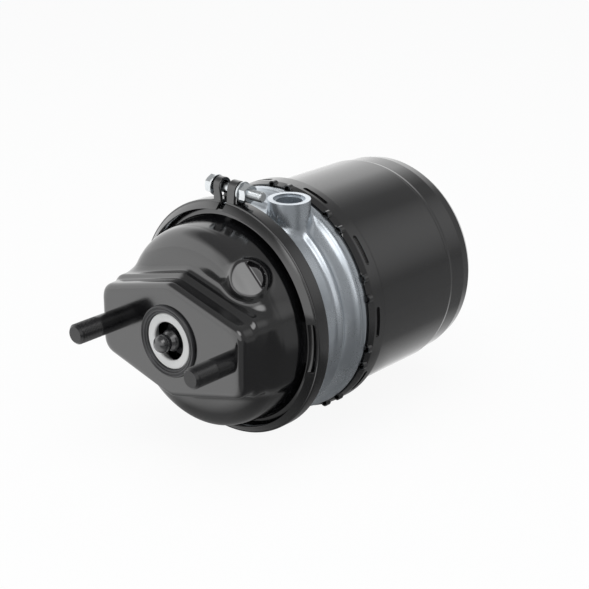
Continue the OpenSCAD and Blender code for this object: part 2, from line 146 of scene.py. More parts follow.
# %% Spacing, laying out and rounding
def crowded(n, centres, width, gain):
    """n angles round the circle in radians, closer together near each centre.

    The density is 1 plus gain times a bell curve of the given width at each centre (all in degrees). Summed up
    round the circle it is a rising curve, and n equal steps of that sum give the angles.
    """
    a = np.linspace(0, 360, 3601)
    near = ((a[:, None] - np.asarray(centres, float) + 180) % 360 - 180) / width
    density = 1 + gain * np.exp(-near ** 2).sum(axis=1)
    total = np.concatenate([[0], np.cumsum(0.5 * (density[1:] + density[:-1]))])
    return np.radians(np.interp(np.linspace(0, total[-1], n, endpoint=False), total, a))


def along_x(points, y, z):
    """Points turned about the Y axis are laid on a line along X at the height y, z."""
    p = np.asarray(points)
    return np.stack([p[:, 1], y + p[:, 0], z + p[:, 2]], axis=1)


def join(*meshes):
    """Several (points, faces) pairs become one pair, with the corner numbers moved on."""
    points, faces, start = [], [], 0
    for p, f in meshes:
        points.append(np.asarray(p))
        faces += [[corner + start for corner in face] for face in f]
        start += len(p)
    return np.concatenate(points), faces


def round_corners(points, radius, steps=5, closed=True):
    """Each corner of a polyline is swapped for a quadratic curve between two points up to radius away from it."""
    p = np.asarray(points, float)
    out = []
    for k in range(len(p)):
        if not closed and k in (0, len(p) - 1):
            out.append(p[k:k + 1])
            continue
        a, b, c = p[k - 1], p[k], p[(k + 1) % len(p)]
        la, lc = np.linalg.norm(a - b), np.linalg.norm(c - b)
        d = min(radius, 0.45 * la, 0.45 * lc)
        s, e = b + (a - b) / la * d, b + (c - b) / lc * d
        t = np.linspace(0, 1, steps + 1)[:, None]
        out.append((1 - t) ** 2 * s + 2 * t * (1 - t) * b + t ** 2 * e)
    return np.concatenate(out)


# %% [markdown]
# ## Fasteners
# Studs, bolts and nuts share two forms: a rod with a thread and a hexagon with its corners turned off. A thread could
# be swept along a helix, but as a height over length and angle it closes by itself and runs out cleanly at both ends.

# %% Threads and hexagons
THREAD_RISE, THREAD_ROOT = 1.35, 0.15


def thread_wave(y, a, pitch):
    """Height of a thread at length y and angle a (radians), 0 in the groove and 1 on the crest.

    The wave is a triangle over y / pitch - a / turn, stretched a little so that root and crest come out flat.
    """
    f = (y / pitch - a / (2 * np.pi)) % 1.0
    return np.clip(THREAD_RISE * (1 - np.abs(2 * f - 1)) - THREAD_ROOT, 0, 1)


def threaded_rod(radius, depth, pitch, y0, y1, plain0, plain1, bevel0, bevel1, cols=64, step=0.16):
    """Closed rod along Y from y0 to y1: the radius less the thread's depth, and never more than either end's bevel.

    The thread is cut from y0 + plain0 to y1 - plain1 and fades in over one pitch.
    """
    y = np.linspace(y0, y1, max(8, int((y1 - y0) / step)))
    a = np.linspace(0, 2 * np.pi, cols, endpoint=False)
    yy, aa = np.meshgrid(y, a, indexing="ij")
    cut = np.clip(np.minimum(yy - (y0 + plain0), (y1 - plain1) - yy) / pitch, 0, 1)
    r = radius - depth * (1 - thread_wave(yy, aa, pitch)) * cut
    r = np.minimum(r, radius - bevel0 + np.clip(yy - y0, 0, bevel0))
    r = np.minimum(r, radius - bevel1 + np.clip(y1 - yy, 0, bevel1))
    wall = np.stack([r * np.cos(aa), yy, r * np.sin(aa)], axis=-1)
    faces = grid_faces(len(y), cols) + [list(range(cols)), list(range((len(y) - 1) * cols, len(y) * cols))]
    return wall.reshape(-1, 3), faces


FACE_SHARE, CONE_ANGLE = 0.97, 30.0


def hexagon(across, y0, y1, bore, cols=96, top=True, bottom=True):
    """Hex head or nut along Y: radius across / 2 / cos(b), b being the angle from the middle of the nearest flat.

    A cone of 30 degrees turns the corners off at one end or both, down to a round face a little inside the flats.
    """
    a = np.linspace(0, 2 * np.pi, cols, endpoint=False)
    b = (a + np.pi / 6) % (np.pi / 3) - np.pi / 6
    flat = across / 2 / np.cos(b)
    corner = across / 2 / math.cos(math.pi / 6)
    face = across / 2 * FACE_SHARE
    cone = np.maximum(flat - face, 0) * math.tan(math.radians(CONE_ANGLE))
    low = y0 + (cone if bottom else 0 * cone)
    high = y1 - (cone if top else 0 * cone)
    inner0, inner1 = (face if bottom else corner), (face if top else corner)
    hole, y_low, y_high = np.full(cols, bore), np.full(cols, y0), np.full(cols, y1)
    rows = [(hole, y_low), (np.minimum(flat, inner0), y_low), (flat, low), (flat, 0.5 * (low + high)), (flat, high),
            (np.minimum(flat, inner1), y_high), (hole, y_high)]
    grid = np.stack([np.stack([r * np.cos(a), y, r * np.sin(a)], axis=-1) for r, y in rows])
    return grid.reshape(-1, 3), grid_faces(len(rows), cols, close_rows=True)


# %% [markdown]
# ## Shader groups
# No real surface is even: lacquer, cast skin, zinc and rubber all vary a little in colour and gloss. One node group,
# `grain`, breaks a colour and a roughness up at two scales and gives a fine height for the bump. Image textures could
# do it too, but noise on Object coordinates has no seam and no fixed size. Each finish places the group with its own
# values.

# %% Shader groups
def new_group(name, inputs, outputs):
    """Node group with the named sockets; inputs are (label, kind, value)."""
    group = bpy.data.node_groups.new(name, "ShaderNodeTree")
    for label, kind, value in inputs:
        socket = group.interface.new_socket(label, in_out="INPUT", socket_type=kind)
        if value is not None:
            socket.default_value = value
    for label, kind in outputs:
        group.interface.new_socket(label, in_out="OUTPUT", socket_type=kind)
    return group


def add(tree, kind, **values):
    """New node of a kind with some of its properties set."""
    node = tree.nodes.new(kind)
    for key, value in values.items():
        setattr(node, key, value)
    return node


def span(tree, value, low, high, to_low, to_high):
    """Maps value from low..high to to_low..to_high, clamped."""
    node = add(tree, "ShaderNodeMapRange")
    for key, number in (("From Min", low), ("From Max", high), ("To Min", to_low), ("To Max", to_high)):
        node.inputs[key].default_value = number
    tree.links.new(value, node.inputs["Value"])
    return node.outputs["Result"]


# %% The grain group
grain_inputs = [("Base", "NodeSocketColor", (0.5, 0.5, 0.5, 1)), ("Spot", "NodeSocketColor", (0.4, 0.4, 0.4, 1)),
                ("Spot Share", "NodeSocketFloat", 0.5), ("Roughness", "NodeSocketFloat", 0.4),
                ("Roughness Swing", "NodeSocketFloat", 0.1), ("Fine", "NodeSocketFloat", 900.0),
                ("Coarse", "NodeSocketFloat", 60.0)]
grain_outputs = [("Color", "NodeSocketColor"), ("Roughness", "NodeSocketFloat"), ("Height", "NodeSocketFloat")]
grain = new_group("grain", grain_inputs, grain_outputs)
g_in, g_out = add(grain, "NodeGroupInput"), add(grain, "NodeGroupOutput")
g_place = add(grain, "ShaderNodeTexCoord").outputs["Object"]
g_fine = add(grain, "ShaderNodeTexNoise")
g_coarse = add(grain, "ShaderNodeTexNoise")
for node, scale in ((g_fine, "Fine"), (g_coarse, "Coarse")):
    node.inputs["Detail"].default_value = 4.0
    grain.links.new(g_place, node.inputs["Vector"])
    grain.links.new(g_in.outputs[scale], node.inputs["Scale"])
g_patch = span(grain, g_coarse.outputs["Fac"], 0.35, 0.7, 0.0, 1.0)
g_share = add(grain, "ShaderNodeMath", operation="MULTIPLY")
grain.links.new(g_patch, g_share.inputs[0])
grain.links.new(g_in.outputs["Spot Share"], g_share.inputs[1])
g_color = add(grain, "ShaderNodeMix", data_type="RGBA")
grain.links.new(g_share.outputs[0], g_color.inputs["Factor"])
grain.links.new(g_in.outputs["Base"], g_color.inputs[6])
grain.links.new(g_in.outputs["Spot"], g_color.inputs[7])
g_mean = add(grain, "ShaderNodeMath", operation="ADD")
grain.links.new(g_fine.outputs["Fac"], g_mean.inputs[0])
grain.links.new(g_coarse.outputs["Fac"], g_mean.inputs[1])
g_swing = add(grain, "ShaderNodeMath", operation="SUBTRACT")
grain.links.new(g_mean.outputs[0], g_swing.inputs[0])
g_swing.inputs[1].default_value = 1.0
g_rough = add(grain, "ShaderNodeMath", operation="MULTIPLY_ADD", use_clamp=True)
grain.links.new(g_swing.outputs[0], g_rough.inputs[0])
grain.links.new(g_in.outputs["Roughness Swing"], g_rough.inputs[1])
grain.links.new(g_in.outputs["Roughness"], g_rough.inputs[2])
grain.links.new(g_color.outputs[2], g_out.inputs["Color"])
grain.links.new(g_rough.outputs[0], g_out.inputs["Roughness"])
grain.links.new(g_fine.outputs["Fac"], g_out.inputs["Height"])
print("groups:", [g.name for g in bpy.data.node_groups])

# %% [markdown]
# ## Finishes
# Each finish is one Principled shader fed by the grain group. The pressed parts have a smooth, glossy black lacquer:
# its own colour is almost black, and a high index of refraction makes it mirror the floor and the studio, which is
# where its greys come from. The flange is cast aluminium, pale and a little blue, and the small fasteners are zinc
# plated.

# %% Finishes
def finish(name, base, spot, share, rough, swing, fine, coarse, bump, metal=0.0, ior=1.5, depth=0.0003):
    """A Principled material whose colour, roughness and bump come from the grain group."""
    material = bpy.data.materials.new(name)
    material.use_nodes = True
    tree = material.node_tree
    shader = tree.nodes["Principled BSDF"]
    shader.inputs["Metallic"].default_value = metal
    shader.inputs["IOR"].default_value = ior
    group = add(tree, "ShaderNodeGroup", node_tree=grain)
    group.inputs["Base"].default_value = (*base, 1)
    group.inputs["Spot"].default_value = (*spot, 1)
    for key, value in (("Spot Share", share), ("Roughness", rough), ("Roughness Swing", swing), ("Fine", fine),
                       ("Coarse", coarse)):
        group.inputs[key].default_value = value
    tree.links.new(group.outputs["Color"], shader.inputs["Base Color"])
    tree.links.new(group.outputs["Roughness"], shader.inputs["Roughness"])
    relief = add(tree, "ShaderNodeBump")
    relief.inputs["Strength"].default_value = bump
    relief.inputs["Distance"].default_value = depth
    tree.links.new(group.outputs["Height"], relief.inputs["Height"])
    tree.links.new(relief.outputs["Normal"], shader.inputs["Normal"])
    return material


# %% The finishes of this actuator
# Columns: colour, colour of the spots, their share, roughness, its swing, fine and coarse scale, bump.
black_coat = finish("black_coat", (0.004, 0.004, 0.0045), (0.007, 0.007, 0.0075), 0.6, 0.13, 0.05, 700, 30, 0.012,
                    ior=1.9)
black_thread = finish("black_thread", (0.006, 0.006, 0.007), (0.014, 0.014, 0.014), 0.6, 0.24, 0.1, 1500, 120, 0.05)
cast_alloy = finish("cast_alloy", (0.56, 0.60, 0.64), (0.46, 0.50, 0.54), 0.8, 0.29, 0.12, 1300, 45, 0.10, metal=0.85)
zinc_plate = finish("zinc_plate", (0.66, 0.69, 0.71), (0.56, 0.58, 0.59), 0.7, 0.24, 0.12, 2600, 150, 0.03, metal=1.0)
bare_steel = finish("bare_steel", (0.42, 0.42, 0.43), (0.32, 0.31, 0.3), 0.7, 0.35, 0.2, 1500, 90, 0.08, metal=1.0)
rod_steel = finish("rod_steel", (0.018, 0.018, 0.02), (0.03, 0.03, 0.032), 0.6, 0.16, 0.08, 1500, 110, 0.03, ior=1.9)
black_rubber = finish("black_rubber", (0.016, 0.016, 0.018), (0.030, 0.030, 0.032), 0.7, 0.42, 0.14, 1800, 90, 0.1,
                      ior=1.6)
pale_plastic = finish("pale_plastic", (0.70, 0.70, 0.69), (0.62, 0.62, 0.61), 0.5, 0.45, 0.15, 1500, 90, 0.08)
bronze = finish("bronze", (0.5, 0.36, 0.18), (0.4, 0.28, 0.14), 0.6, 0.35, 0.2, 1500, 90, 0.08, metal=1.0)
spring_coat = finish("spring_coat", (0.03, 0.045, 0.08), (0.05, 0.07, 0.11), 0.6, 0.35, 0.15, 1400, 90, 0.06)
black_plastic = finish("black_plastic", (0.02, 0.02, 0.02), (0.03, 0.03, 0.03), 0.5, 0.5, 0.15, 1500, 90, 0.08)

# %% Finishes on the CAD nodes
SLOT_FINISH = {"black_paint": black_coat, "black_studs": black_thread, "steel": bare_steel, "dark_steel": rod_steel,
               "zinc": zinc_plate, "cast_aluminium": cast_alloy, "rubber": black_rubber, "pale_plastic": pale_plastic,
               "bronze": bronze, "spring_coating": spring_coat, "black_plastic": black_plastic}
for part in frame["record"]["subparts"]:
    node = frame["nodes"][part["node"]]
    for slot in node.material_slots:
        slot.material = SLOT_FINISH[part["material_slot"]]
print("finishes:", len(SLOT_FINISH))

# %% [markdown]
# ## Stage
# A pale floor under the lowest point, a white surround and three soft lamps. The camera sees floor and surround
# white, and the light that they give is a plain grey. Walls and cards could be built as objects, as in a real studio.
# Here the strength of the surround depends on the direction of a mirrored ray instead, which needs no objects: bright
# at the left and in front, dim at the right and above, with two windows. That gives the lacquer its dark flank and
# its light top. The floor keeps the object's shadow from the lamps. What the lacquer mirrors of the floor is painted
# light instead: bright at the left, dim at the right, with a painted shadow under the object.

# %% Stage helpers
FLOOR_Z = -0.0925
FLOOR_HALF = 6.0
FLOOR_GLOW = 0.92


def joined(tree, operation, a, b):
    """Sum, product or larger of two values; b may be a number."""
    node = add(tree, "ShaderNodeMath", operation=operation)
    tree.links.new(a, node.inputs[0])
    if isinstance(b, float):
        node.inputs[1].default_value = b
    else:
        tree.links.new(b, node.inputs[1])
    return node.outputs[0]


def ray_kinds(tree):
    """Two values: 1 for camera rays, and 1 for mirrored and refracted rays."""
    path = add(tree, "ShaderNodeLightPath")
    bent = joined(tree, "MAXIMUM", path.outputs["Is Glossy Ray"], path.outputs["Is Transmission Ray"])
    return path.outputs["Is Camera Ray"], bent


# %% What mirrored rays see
SIDE_WINDOW, ROOF_WINDOW = (0.56, 0.69, 0.46), (0.49, -0.41, 0.77)


def toward(tree, way, direction):
    """Cosine between a ray's way and a fixed direction."""
    node = add(tree, "ShaderNodeVectorMath", operation="DOT_PRODUCT")
    tree.links.new(way, node.inputs[0])
    node.inputs[1].default_value = direction
    return node.outputs["Value"]


def studio_walls(tree):
    """Strength of the surround for a mirrored ray: 0.3, more at the left and in front (not above), and two windows."""
    way = add(tree, "ShaderNodeTexCoord").outputs["Generated"]
    axes = add(tree, "ShaderNodeSeparateXYZ")
    tree.links.new(way, axes.inputs[0])
    left = span(tree, axes.outputs["X"], -0.05, -0.42, 0.0, 1.15)
    front = span(tree, axes.outputs["Y"], -0.4, -0.66, 0.0, 0.95)
    low = span(tree, axes.outputs["Z"], 0.5, 0.78, 1.0, 0.0)
    glimpse = span(tree, toward(tree, way, SIDE_WINDOW), 0.9, 1.0, 0.3, 0.62)
    gleam = span(tree, toward(tree, way, ROOF_WINDOW), 0.92, 0.98, 0.0, 2.2)
    walls = joined(tree, "ADD", joined(tree, "MULTIPLY", joined(tree, "MAXIMUM", left, front), low), glimpse)
    return joined(tree, "ADD", walls, gleam)


def painted_floor_light(tree):
    """Painted light on the floor for a mirrored ray: bright at the left and in front, dim at the right,
    and a painted shadow of the object underneath.
    """
    axes = add(tree, "ShaderNodeSeparateXYZ")
    tree.links.new(add(tree, "ShaderNodeTexCoord").outputs["Object"], axes.inputs[0])
    # painted light: the floor's glow falls off from the left to the right
    sides = span(tree, axes.outputs["X"], 0.11, 0.02, 0.27, 1.35)
    ahead = span(tree, axes.outputs["Y"], -0.06, 0.0, 0.0, 1.0)
    behind = span(tree, axes.outputs["Y"], 0.22, 0.17, 0.0, 1.0)
    beside = span(tree, axes.outputs["X"], -0.12, -0.04, 0.0, 1.0)
    # painted shadow of the object on the floor's glow, down to 0.22 of it under the object
    painted_shadow = joined(tree, "MULTIPLY", joined(tree, "MULTIPLY", ahead, behind), beside)
    return joined(tree, "MULTIPLY", sides, span(tree, painted_shadow, 0.0, 1.0, 1.0, 0.22))


# %% Floor
floor_mesh = bpy.data.meshes.new("floor")
floor_corners = [(sx * FLOOR_HALF, sy * FLOOR_HALF, FLOOR_Z) for sx, sy in ((-1, -1), (1, -1), (1, 1), (-1, 1))]
floor_mesh.from_pydata(floor_corners, [], [(0, 1, 2, 3)])
floor = bpy.data.objects.new("floor", floor_mesh)
bpy.context.scene.collection.objects.link(floor)
floor_paint = bpy.data.materials.new("floor_paint")
floor_paint.use_nodes = True
tree = floor_paint.node_tree
tree.nodes.clear()
plain = add(tree, "ShaderNodeBsdfDiffuse")
plain.inputs["Color"].default_value = (0.9, 0.9, 0.9, 1)
glow = add(tree, "ShaderNodeEmission")
glow.inputs["Color"].default_value = (1, 1, 1, 1)
straight, mirrored = ray_kinds(tree)
# mirrored rays see the floor's painted light and painted shadow; camera rays see it evenly white
strength = joined(tree, "ADD", joined(tree, "MULTIPLY", mirrored, painted_floor_light(tree)), straight)
tree.links.new(strength, glow.inputs["Strength"])
mix = add(tree, "ShaderNodeMixShader")
out = add(tree, "ShaderNodeOutputMaterial")
tree.links.new(joined(tree, "MULTIPLY", joined(tree, "MAXIMUM", straight, mirrored), FLOOR_GLOW), mix.inputs["Fac"])
tree.links.new(plain.outputs[0], mix.inputs[1])
tree.links.new(glow.outputs[0], mix.inputs[2])
tree.links.new(mix.outputs[0], out.inputs["Surface"])
floor_mesh.materials.append(floor_paint)
print("floor at", FLOOR_Z)

# %% Surround
world = bpy.data.worlds.new("studio")
bpy.context.scene.world = world
world.use_nodes = True
tree = world.node_tree
tree.nodes.clear()
near = add(tree, "ShaderNodeBackground")
near.inputs["Color"].default_value = (0.44, 0.45, 0.46, 1)
far = add(tree, "ShaderNodeBackground")
far.inputs["Color"].default_value = (1, 1, 1, 1)
straight, mirrored = ray_kinds(tree)
strength = joined(tree, "ADD", joined(tree, "MULTIPLY", mirrored, studio_walls(tree)), straight)
tree.links.new(strength, far.inputs["Strength"])
mix = add(tree, "ShaderNodeMixShader")
out = add(tree, "ShaderNodeOutputWorld")
tree.links.new(joined(tree, "MAXIMUM", straight, mirrored), mix.inputs["Fac"])
tree.links.new(near.outputs[0], mix.inputs[1])
tree.links.new(far.outputs[0], mix.inputs[2])
tree.links.new(mix.outputs[0], out.inputs["Surface"])


# %% Lamps
def softbox(name, place, target, size, power):
    """A square area lamp at place that faces target; it lights the object but isn't mirrored in it."""
    lamp = bpy.data.lights.new(name, "AREA")
    lamp.size = size
    lamp.energy = power
    box = bpy.data.objects.new(name, lamp)
    box.location = place
    box.visible_glossy = False
    way = np.array(target) - np.array(place)
    box.rotation_euler = (math.atan2(math.hypot(way[0], way[1]), -way[2]), 0, math.atan2(way[0], -way[1]) + math.pi)
    bpy.context.scene.collection.objects.link(box)
    return box


softbox("top_softbox", (0.1, 0.0, 1.5), (0.0, 0.1, 0.0), 1.5, 13)
softbox("front_softbox", (-0.9, -1.6, 0.7), (0.0, 0.0, 0.0), 1.0, 9)
softbox("side_softbox", (1.7, 0.4, 0.9), (0.0, 0.1, 0.0), 0.8, 4)
print("lamps:", [lamp.name for lamp in bpy.data.lights])

# %% [markdown]
# ## Pressed front housing
# On the real part one steel blank is drawn into a round bowl, and a hexagonal pad is pressed out of it, so every edge
# is a soft fillet. Booleans with bevels would leave broken fillets where three forms meet. Here the surface is one
# function that is negative inside the metal: the pad and the bowl are each a distance, and a smooth minimum joins
# them with a fillet. From a point on the axis inside the bowl every ray meets this surface once, so bisection along
# the rays gives the points of a polar grid.

# %% Smooth joins
def smooth_max(a, b, k):
    """Larger of a and b, the crease rounded: b + (a - b) h + k h (1 - h), h going from 0 to 1 over a width of 2 k."""
    h = np.clip(0.5 + 0.5 * (a - b) / k, 0, 1)
    return b + (a - b) * h + k * h * (1 - h)


def smooth_min(a, b, k):
    """Smaller of a and b, with the same rounding: minus the smooth larger of -a and -b."""
    return -smooth_max(-a, -b, k)


def ease(t):
    """0 below 0, 1 above 1 and the smooth step 3 t t - 2 t t t between."""
    t = np.clip(t, 0, 1)
    return t * t * (3 - 2 * t)


# %% The pad
PAD_W, PAD_TAIL_W, PAD_END, PAD_MID, PAD_LONG = 73.0, 76.5, 26.0, 46.0, 40.0
PAD_EDGE, PAD_CORNER, PAD_FILLET, PAD_SOFT = 6.0, 9.0, 6.0, 3.0
PAD_TAIL, PAD_TAIL_SOFT = 57.0, 8.0
LEDGE, LEDGE_Y, LEDGE_RUN = 3.0, 13.0, 5.0


def pad_field(x, y, z):
    """Signed distance to the pad: a hexagon given by its upright sides and its slopes, the nearer face counting.

    It widens towards the bowl, steps out by a ledge behind its front edge, and its corners and edges are rounded.
    """
    w = PAD_W + (PAD_TAIL_W - PAD_W) * np.clip(y / PAD_LONG, 0, 1)
    ax, az = np.sqrt(x * x + PAD_SOFT ** 2), np.sqrt(z * z + PAD_SOFT ** 2)
    side = ax - w
    slope = ((PAD_MID - PAD_END) * ax + w * (az - PAD_MID)) / np.hypot(PAD_MID - PAD_END, w)
    slope = slope - LEDGE * ease((y - LEDGE_Y) / LEDGE_RUN)
    outline = smooth_max(side, slope, PAD_CORNER)
    return smooth_max(smooth_max(outline, -y, PAD_EDGE), y - PAD_TAIL, PAD_TAIL_SOFT)


# %% The bowl
BOWL_R, BOWL_FRONT, BOWL_BACK, BOWL_FLAT, BOWL_POWER = 78.0, 24.0, 42.0, 57.0, 2.4
BOWL_DRAFT, DRAFT_FROM = 0.12, 38.0


def bowl_field(x, y, z):
    """Signed distance to the bowl: a flat front, a superelliptical shoulder and a wall with a little draft.

    On the shoulder u^p + v^p = q^p with q = 1 on the surface, and q - 1 over its slope is nearly the distance.
    """
    a, b = BOWL_R - BOWL_FLAT, BOWL_BACK - BOWL_FRONT
    draft = BOWL_DRAFT * np.maximum(y - DRAFT_FROM, 0)
    u = np.maximum(np.hypot(x, z) - draft - BOWL_FLAT, 0) / a
    v = np.maximum(BOWL_BACK - y, 0) / b
    q = (u ** BOWL_POWER + v ** BOWL_POWER) ** (1 / BOWL_POWER)
    steep = np.maximum(q, 1e-6) ** (1 - BOWL_POWER) * np.hypot(u ** (BOWL_POWER - 1) / a, v ** (BOWL_POWER - 1) / b)
    return np.where(q > 0.05, (q - 1) / np.maximum(steep, 1e-3), -0.9 * b)


# %% [markdown]
# ## Boss on the shoulder
# A round boss stands square on the bowl's shoulder, with a crescent pocket pressed into one side of its face. It
# could be a piece of its own, but on the real part it is the same sheet, so it goes into the same function: a
# cylinder is joined with a wide fillet, and the pocket, a cylinder cut off by a plane, is taken away.

# %% The boss
BOSS_ANGLE, BOSS_TILT, BOSS_AT, BOSS_Y = 45.6, 33.0, 72.4, 32.2
BOSS_R, BOSS_TOP, BOSS_DEEP, BOSS_EDGE, BOSS_FILLET = 13.6, 3.4, 14.0, 2.0, 7.0
POCKET_R, POCKET_FROM, POCKET_FLOOR, POCKET_RISE = 11.6, 5.0, 0.5, 0.25
POCKET_EDGE, POCKET_LIP = 1.5, 1.4


def housing_field(x, y, z):
    """Pad and bowl joined with a fillet, then the boss joined and its pocket cut away.

    h is the height along the boss's own axis, q the distance from it, and side the way across it towards the pocket.
    """
    body = smooth_min(pad_field(x, y, z), bowl_field(x, y, z), PAD_FILLET)
    a, t = math.radians(BOSS_ANGLE), math.radians(BOSS_TILT)
    n = np.array([math.cos(t) * math.cos(a), -math.sin(t), math.cos(t) * math.sin(a)])
    dx, dy, dz = x - BOSS_AT * math.cos(a), y - BOSS_Y, z - BOSS_AT * math.sin(a)
    h = dx * n[0] + dy * n[1] + dz * n[2]
    q = np.sqrt(np.maximum(dx * dx + dy * dy + dz * dz - h * h, 0))
    boss = smooth_max(smooth_max(q - BOSS_R, h - BOSS_TOP, BOSS_EDGE), -h - BOSS_DEEP, BOSS_EDGE)
    side = (dy - h * n[1]) / math.hypot(n[0], n[2]) - POCKET_FROM
    floor_gap = POCKET_RISE * side - POCKET_FLOOR - h
    pocket = smooth_max(smooth_max(q - POCKET_R, -side, POCKET_EDGE), floor_gap, POCKET_EDGE)
    return smooth_max(smooth_min(body, boss, BOSS_FILLET), -pocket, POCKET_LIP)


# %% Rays from the axis
RAY_NEAR, RAY_FAR, HALVINGS = 8.0, 130.0, 34


def polar_rows(field, angles, around, centre_y, level):
    """For each polar angle and each column, the point where field equals level on the ray from the centre.

    The place is halved in on: each step keeps the half of the ray in which the field passes the level.
    """
    s, c = np.sin(angles)[:, None], -np.cos(angles)[:, None]
    dx, dy, dz = s * np.cos(around), np.repeat(c, len(around), 1), s * np.sin(around)
    low, high = np.full(dx.shape, RAY_NEAR), np.full(dx.shape, RAY_FAR)
    for _ in range(HALVINGS):
        mid = 0.5 * (low + high)
        inside = field(mid * dx, centre_y + mid * dy, mid * dz) < level
        low, high = np.where(inside, mid, low), np.where(inside, high, mid)
    return np.stack([low * dx, centre_y + low * dy, low * dz], axis=-1)


# %% Pressed front housing
SHEET, RIM_R, RIM_Y, RIM_BACK = 3.0, 86.5, 63.0, 66.0
CENTRE_Y, SEAL_SEAT, SEAL_HOLE = 60.0, 28.0, 24.0
PAD_CORNERS = [19.6, 90, 160.4, 199.6, 270, 340.4]
around = crowded(420, [BOSS_ANGLE] + PAD_CORNERS, 9.0, 1.2)
out_angles = np.linspace(math.atan(SEAL_SEAT / CENTRE_Y), math.radians(90), 168)
in_angles = np.linspace(math.radians(90), math.atan(SEAL_HOLE / (CENTRE_Y - SHEET)), 34)
outer = polar_rows(housing_field, out_angles, around, CENTRE_Y, 0.0)
inner = polar_rows(housing_field, in_angles, around, CENTRE_Y, -SHEET)
rim = turn([(80.7, RIM_Y - 0.8), (81.0, RIM_Y - 0.2), (81.8, RIM_Y), (RIM_R - 0.6, RIM_Y), (RIM_R - 0.1, RIM_Y + 0.3),
            (RIM_R, RIM_Y + 0.8), (RIM_R, RIM_BACK - 0.3), (RIM_R - 0.3, RIM_BACK), (BOWL_R - SHEET, RIM_BACK),
            (BOWL_R - SHEET, RIM_Y)], around)
seat = turn([(SEAL_HOLE, 3), (SEAL_HOLE, 1), (SEAL_SEAT, 1), (SEAL_SEAT, 0.3)], around)
housing_points = np.concatenate([outer.reshape(-1, 3), rim, inner.reshape(-1, 3), seat])
housing_faces = grid_faces(len(housing_points) // len(around), len(around), close_rows=True)
pressed_housing = make_piece("pressed_housing", housing_points, housing_faces, black_coat, sharp=50)
dress(pressed_housing, "chamber", "front_housing")

# %% [markdown]
# ## Threaded studs
# Two studs hold the actuator on the calliper. They have rolled M16 x 1.5 threads in front of a plain shank, and a
# bevelled end. A bump texture could fake the thread, but against the pale background its edge has to be a real shape.

# %% Threaded studs
STUD_X, STUD_R, STUD_PITCH, STUD_FRONT, STUD_BACK = 60.325, 8.0, 1.5, -38.0, 6.0
stud = threaded_rod(STUD_R, 0.55, STUD_PITCH, STUD_FRONT, STUD_BACK, 1.2, 22.0, 1.8, 0.3, cols=72, step=0.14)
both_studs = join(*[(stud[0] + [s * STUD_X, 0, 0], stud[1]) for s in (-1, 1)])
studs = make_piece("threaded_studs", *both_studs, black_thread, sharp=35)
dress(studs, "chamber", "mounting_studs")

# %% [markdown]
# ## Face seal and ring
# The seal is a moulded rubber lip with two concentric ridges that close on the calliper. The pale ring inside it
# holds the seal and the boot in the hole. Bevelled cylinders would give the same rings with more modifiers. Here each
# is a closed profile carried round the axis, its corners rounded first.

# %% Face seal and ring
seal_corners = [(21.6, 8), (21.6, 0.2), (22.3, -1.2), (22.9, -1.3), (23.4, -0.9), (23.9, -1.9), (24.7, -2.2), (25.2, -1.5),
                (25.8, -1.5), (26.4, -2.5), (27.2, -2.4), (27.8, -1.2), (27.8, 1), (24, 1), (24, 3), (25.9, 3), (25.9, 8)]
seal_profile = round_corners(seal_corners, 0.25, 3)
ridged_seal = make_piece("ridged_seal", *turned(seal_profile, 256), black_rubber, sharp=40)
dress(ridged_seal, "chamber", "face_seal")
ring_corners = [(18.6, 8), (18.6, 1.9), (14.7, 1.9), (14.7, 0.5), (15.4, -0.2), (20.9, -0.3), (21.5, 0.3), (21.5, 8)]
ring_profile = round_corners(ring_corners, 0.4, 4)
retaining_ring = make_piece("retaining_ring", *turned(ring_profile, 256), pale_plastic, sharp=40)
dress(retaining_ring, "chamber", "seal_ring")

# %% [markdown]
# ## Rod boot
# A moulded rubber bellows closes the hole around the push rod. Its profile zigzags between two radii along the axis,
# with rounded folds. The front lip lies deep in the hole, so the hole looks dark around the rod's round end. When the
# rod comes out the real bellows folds up. A hinge in every fold or one squash along the axis could show that; here
# the bellows keeps one shape, on a mesh of its own.

# %% Rod boot
BOOT_BORE, BOOT_FRONT, BOOT_BACK = 8.9, 12.0, 83.9
FOLD_LOW, FOLD_HIGH, FOLD_WALL, FOLDS = 13.2, 19.0, 1.4, 17
fold_y = np.linspace(20.0, 74.0, FOLDS)
fold_out = [(FOLD_LOW if k % 2 == 0 else FOLD_HIGH, y) for k, y in enumerate(fold_y)]
fold_in = [(r - FOLD_WALL, y) for r, y in fold_out[::-1]]
front_lip = [(BOOT_BORE, BOOT_FRONT), (14.6, BOOT_FRONT), (14.6, 17.0)]
back_lip = [(FOLD_LOW, BOOT_BACK), (BOOT_BORE, BOOT_BACK), (BOOT_BORE, 78.0)]
boot_profile = round_corners(front_lip + fold_out + back_lip + fold_in + [(11.8, 14.0), (BOOT_BORE, 13.8)], 0.8, 3)
bellows = make_piece("bellows", *turned(boot_profile, 128), black_rubber, sharp=40)
dress(bellows, "chamber", "rod_boot")
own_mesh(bellows)

# %% [markdown]
# ## Clamp band
# The band is a rolled strip with a V section whose slanted sides pull both rims together. Its profile is carried
# round the axis but stops at the gap on top. A boolean could cut the window in the front side, and would leave long
# thin faces. Instead the profile is a function of the angle: in the window its lip is drawn back to the crest, with a
# quarter circle at each end.

# %% Band profile
BAND_R, CREST, BACK = 92.4, 63.0, 72.8
WINDOW_MID, WINDOW_HALF, WINDOW_ROUND, WINDOW_DEEP = -0.5, 12.6, 1.0, 0.94
lip_out, lip_in, crest_out, crest_in = [np.array(p) for p in ((86.2, 57.0), (86.0, 59.4), (90.9, 61.5), (89.4, 63.6))]


